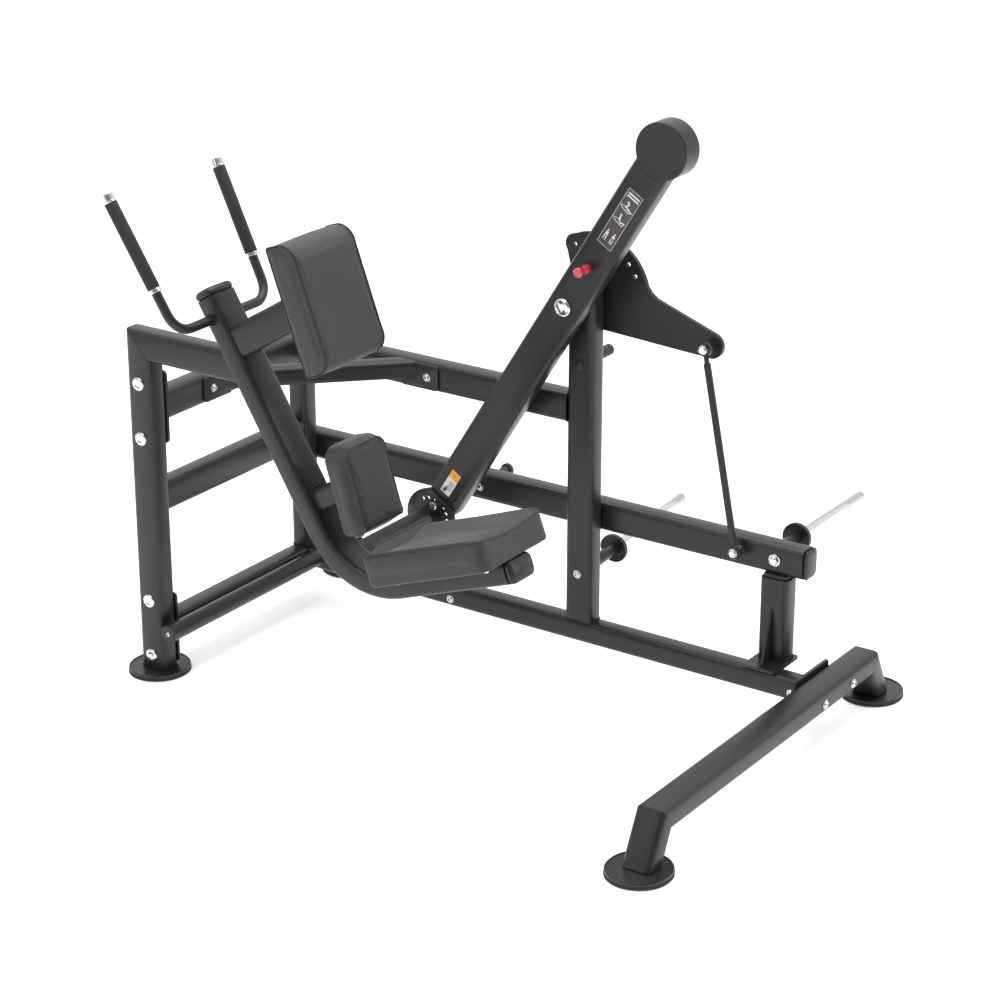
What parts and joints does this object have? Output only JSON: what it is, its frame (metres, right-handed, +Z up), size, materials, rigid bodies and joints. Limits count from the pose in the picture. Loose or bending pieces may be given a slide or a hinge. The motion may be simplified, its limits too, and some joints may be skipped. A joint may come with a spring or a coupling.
{
  "type": "plate-loaded kneeling glute kickback machine",
  "caption": "Plate-loaded kneeling rear-kick gym machine: tube frame, padded kneeling seat, hand grips, counterweighted swing arm with foot tread, link rod and weight lever.",
  "frame": {"origin": "on the floor, at the middle of the sole of the foot under the rear post", "axes": "+X from the handle end to the wide base end (the longest extent), +Y from the user's side to the weight lever, +Z up"},
  "size_m": [1.818, 1.5191, 1.5667],
  "materials": {
    "textured_black_paint": "textured powder coat",
    "rubber": "matt",
    "dark_vinyl": "fine grain vinyl",
    "chrome": "polished",
    "foam_grip": "ribbed foam",
    "red_knob": "gloss",
    "zinc_steel": "turned",
    "black_plastic": "moulded"
  },
  "bodies": {
    "frame": {"rear_post": "textured_black_paint", "upper_side_flange": "textured_black_paint", "upper_side_tube": "textured_black_paint", "base_side_flange": "textured_black_paint", "base_side_tube": "textured_black_paint", "middle_side_tube": "textured_black_paint", "side_leg": "textured_black_paint", "foot_bar": "textured_black_paint", "inner_post": "textured_black_paint", "upper_rail": "textured_black_paint", "base_rail": "textured_black_paint", "stop_base": "textured_black_paint", "main_upright": "textured_black_paint", "cross_leg_near": "textured_black_paint", "cross_leg_far": "textured_black_paint", "cross_base": "textured_black_paint", "corner_brace": "textured_black_paint", "stop_post": "textured_black_paint", "rear_top_rail": "textured_black_paint", "seat_frame": "textured_black_paint", "chest_pad_bracket": "textured_black_paint", "knee_pad_bracket": "textured_black_paint", "handle_near": "textured_black_paint", "handle_far": "textured_black_paint", "rear_foot": "rubber", "side_foot": "rubber", "cross_foot_near": "rubber", "cross_foot_far": "rubber", "stop_bumper": "rubber", "travel_stop": "rubber", "chest_pad": "dark_vinyl", "knee_pad": "dark_vinyl", "seat_pad": "dark_vinyl", "storage_horn": "chrome", "grip_near": "foam_grip", "grip_far": "foam_grip", "pivot_shaft": "zinc_steel", "lever_shaft": "zinc_steel", "seat_frame_cap_top": "black_plastic", "seat_frame_cap_front": "black_plastic"},
    "plate": {"index_plate": "textured_black_paint"},
    "arm": {"swing_arm": "textured_black_paint", "counterweight": "textured_black_paint", "pivot_cap": "chrome", "foot_sector": "textured_black_paint"},
    "start_pin_body": {"start_pin": "red_knob"},
    "foot": {"foot_tube": "textured_black_paint", "foot_tread": "rubber"},
    "foot_pin_body": {"foot_pin": "chrome"},
    "link": {"link_rod": "textured_black_paint", "link_eye_upper": "textured_black_paint", "link_eye_lower": "textured_black_paint", "link_bolt_upper": "chrome", "link_bolt_lower": "chrome"},
    "lever": {"weight_lever": "textured_black_paint", "weight_lever_cap": "black_plastic", "weight_horn": "chrome", "band_peg": "rubber", "link_stud": "zinc_steel"}
  },
  "joints": [
    {"name": "kick_swing", "type": "hinge", "parent": "frame", "child": "plate", "pos_m": [0.938, 0.692, 1.049], "axis": [0, -1, 0], "range_deg": [0, 60]},
    {"name": "start_angle", "type": "hinge", "parent": "plate", "child": "arm", "pos_m": [0.938, 0.565, 1.049], "axis": [0, -1, 0], "range_deg": [-15, 60]},
    {"name": "start_pin_pull", "type": "slide", "parent": "arm", "child": "start_pin_body", "axis": [0, -1, 0], "range_m": [0, 0.018], "stiffness_N_per_m": 600, "springref_m": -0.01},
    {"name": "foot_angle", "type": "hinge", "parent": "arm", "child": "foot", "pos_m": [0.52351, 0.3, 0.38825], "axis": [0, -1, 0], "range_deg": [-30, 30]},
    {"name": "foot_pin_pull", "type": "slide", "parent": "arm", "child": "foot_pin_body", "axis": [0, -1, 0], "range_m": [0, 0.012], "stiffness_N_per_m": 300, "springref_m": -0.01},
    {"name": "link_swing", "type": "hinge", "parent": "plate", "child": "link", "pos_m": [1.285, 0.656, 0.97], "axis": [0, -1, 0], "range_deg": [-56.8, 0.5]},
    {"name": "lever_lift", "type": "hinge", "parent": "frame", "child": "lever", "pos_m": [0, 0.716, 0.434], "axis": [0, -1, 0], "range_deg": [0, 15.5]}
  ],
  "couplings": [
    {"joint": "link_swing", "follows": "kick_swing", "ratio": -0.938},
    {"joint": "lever_lift", "follows": "kick_swing", "ratio": 0.25}
  ]
}
